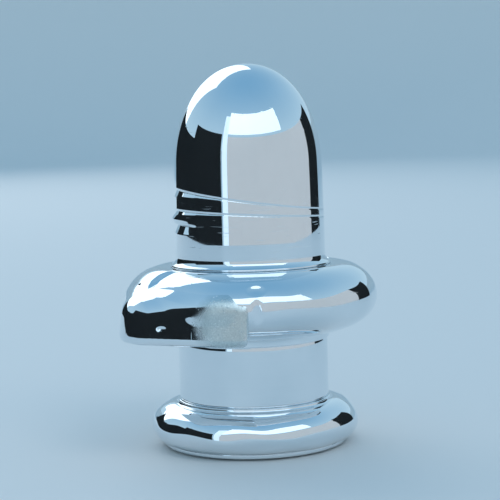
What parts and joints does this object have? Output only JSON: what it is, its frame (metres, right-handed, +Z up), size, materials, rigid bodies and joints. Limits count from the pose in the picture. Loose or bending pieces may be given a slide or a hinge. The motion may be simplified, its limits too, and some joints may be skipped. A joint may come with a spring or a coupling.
{
  "type": "lingam ornament",
  "caption": "Polished domed pillar standing in a round collar with a short spout, on a waisted neck and flared foot, drawn together by a hidden tie rod.",
  "frame": {"origin": "centre of the resting face, on the surface the object stands on, on the pillar's axis", "axes": "+Z up along the pillar, -X along the spout, +Y to the side so that the frame is right-handed"},
  "size_m": [0.0719, 0.0662, 0.1],
  "materials": {
    "polished_metal": "mirror-polished, with a satin patch at the spout's root and small dents",
    "turned_steel": "plain turned steel",
    "felt": "dark pressed felt"
  },
  "bodies": {
    "root": {"pillar": "polished_metal", "pillar_anchor": "turned_steel", "collar": "polished_metal", "spout": "polished_metal", "neck_sleeve": "polished_metal", "foot": "polished_metal", "tie_rod": "turned_steel", "washer": "turned_steel", "nut": "turned_steel", "cover_disc": "polished_metal", "felt_pad": "felt"}
  },
  "joints": []
}
